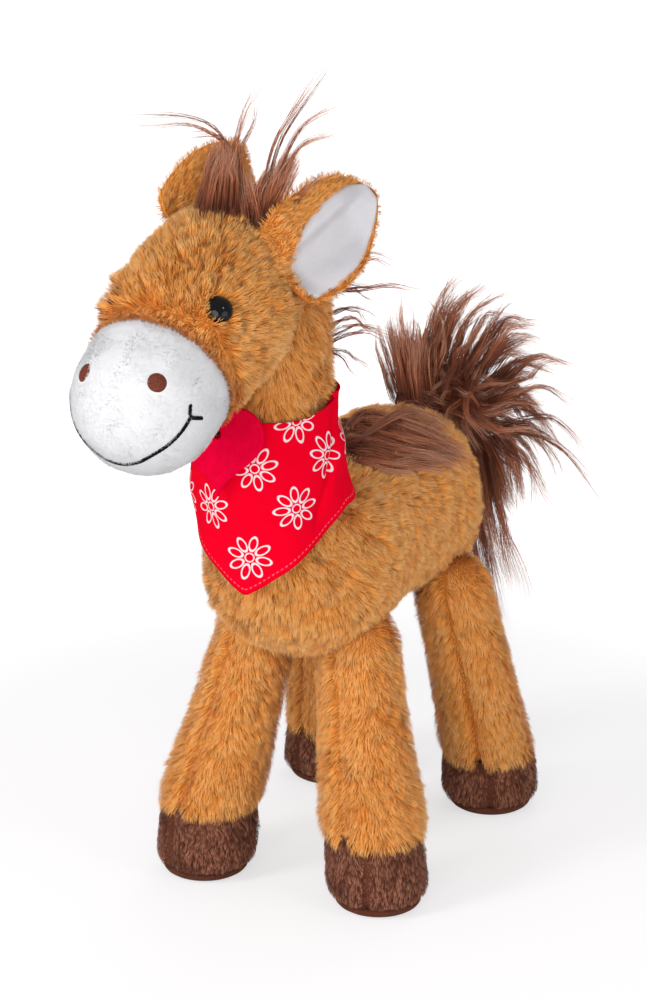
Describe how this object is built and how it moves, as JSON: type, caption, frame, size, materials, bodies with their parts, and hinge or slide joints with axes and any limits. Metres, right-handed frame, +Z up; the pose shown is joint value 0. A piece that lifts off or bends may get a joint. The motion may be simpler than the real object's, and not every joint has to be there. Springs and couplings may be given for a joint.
{
  "type": "plush horse",
  "caption": "Stuffed plush foal on four splayed legs with a white muzzle, long brown mane and tail, a red neckerchief and a plain heart tag.",
  "frame": {"origin": "on the ground under the middle of the foal's length and width", "axes": "+Z up, the foal looks along -Y, its left side is +X"},
  "size_m": [0.1214, 0.3501, 0.3474],
  "materials": {
    "caramel_pile": "long combed pile",
    "white_short_pile": "short brushed pile",
    "hoof_short_pile": "short brushed pile",
    "long_hair": "long loose hair fibre",
    "red_cotton": "printed woven cotton",
    "red_felt": "felt",
    "stuffing": "loose fibre",
    "black_thread": "embroidery thread",
    "brown_thread": "embroidery thread",
    "black_bead": "polished",
    "washer_plastic": "natural"
  },
  "bodies": {
    "torso": {"torso_skin": "caramel_pile", "torso_stuffing": "stuffing", "bandana": "red_cotton", "withers_mane": "long_hair", "tag_loop": "black_thread"},
    "tag": {"heart_tag": "red_felt"},
    "neck": {"neck_skin": "caramel_pile", "neck_stuffing": "stuffing", "mane": "long_hair"},
    "head": {"head_skin": "caramel_pile", "head_stuffing": "stuffing", "muzzle_skin": "white_short_pile", "nostril_left": "brown_thread", "nostril_right": "brown_thread", "mouth_stitch": "black_thread", "eye_left": "black_bead", "eye_right": "black_bead", "eye_washer_left": "washer_plastic", "eye_washer_right": "washer_plastic", "forelock": "long_hair"},
    "ear_left": {"ear_left_back": "caramel_pile", "ear_left_lining": "white_short_pile"},
    "ear_right": {"ear_right_back": "caramel_pile", "ear_right_lining": "white_short_pile"},
    "tail": {"tail_core": "caramel_pile", "tail_hair": "long_hair"},
    "leg_front_left": {"leg_front_left_skin": "caramel_pile", "leg_front_left_stuffing": "stuffing", "leg_front_left_hoof": "hoof_short_pile", "leg_front_left_sole": "hoof_short_pile"},
    "leg_front_right": {"leg_front_right_skin": "caramel_pile", "leg_front_right_stuffing": "stuffing", "leg_front_right_hoof": "hoof_short_pile", "leg_front_right_sole": "hoof_short_pile"},
    "leg_rear_left": {"leg_rear_left_skin": "caramel_pile", "leg_rear_left_stuffing": "stuffing", "leg_rear_left_hoof": "hoof_short_pile", "leg_rear_left_sole": "hoof_short_pile"},
    "leg_rear_right": {"leg_rear_right_skin": "caramel_pile", "leg_rear_right_stuffing": "stuffing", "leg_rear_right_hoof": "hoof_short_pile", "leg_rear_right_sole": "hoof_short_pile"}
  },
  "joints": [
    {"name": "neck_turn", "type": "hinge", "parent": "torso", "child": "neck", "pos_m": [0, -0.049, 0.2], "axis": [0, 0, 1], "range_deg": [-20, 20], "stiffness_Nm_per_rad": 1},
    {"name": "head_nod", "type": "hinge", "parent": "neck", "child": "head", "pos_m": [0, -0.049, 0.256], "axis": [1, 0, 0], "range_deg": [-10, 12], "stiffness_Nm_per_rad": 1.2},
    {"name": "ear_left_fold", "type": "hinge", "parent": "head", "child": "ear_left", "pos_m": [0.029, -0.086, 0.2895], "axis": [0.6679, 0.0524, -0.7424], "range_deg": [-15, 15], "stiffness_Nm_per_rad": 0.05},
    {"name": "ear_right_fold", "type": "hinge", "parent": "head", "child": "ear_right", "pos_m": [-0.021, -0.072, 0.294], "axis": [0.4077, 0.499, -0.7647], "range_deg": [-15, 15], "stiffness_Nm_per_rad": 0.05},
    {"name": "tail_lift", "type": "hinge", "parent": "torso", "child": "tail", "pos_m": [0, 0.088, 0.172], "axis": [1, 0, 0], "range_deg": [-8, 30], "stiffness_Nm_per_rad": 0.4},
    {"name": "tag_swing", "type": "hinge", "parent": "torso", "child": "tag", "pos_m": [-0.004, -0.0832, 0.21325], "axis": [1, 0, 0], "range_deg": [-25, 0]},
    {"name": "leg_front_left_swing", "type": "hinge", "parent": "torso", "child": "leg_front_left", "pos_m": [0.0225, -0.012, 0.108], "axis": [1, 0, 0], "range_deg": [-12, 12], "stiffness_Nm_per_rad": 1.5},
    {"name": "leg_front_right_swing", "type": "hinge", "parent": "torso", "child": "leg_front_right", "pos_m": [-0.0225, -0.012, 0.108], "axis": [1, 0, 0], "range_deg": [-12, 12], "stiffness_Nm_per_rad": 1.5},
    {"name": "leg_rear_left_swing", "type": "hinge", "parent": "torso", "child": "leg_rear_left", "pos_m": [0.0325, 0.069, 0.108], "axis": [1, 0, 0], "range_deg": [-12, 12], "stiffness_Nm_per_rad": 1.5},
    {"name": "leg_rear_right_swing", "type": "hinge", "parent": "torso", "child": "leg_rear_right", "pos_m": [-0.0325, 0.069, 0.108], "axis": [1, 0, 0], "range_deg": [-12, 12], "stiffness_Nm_per_rad": 1.5}
  ]
}
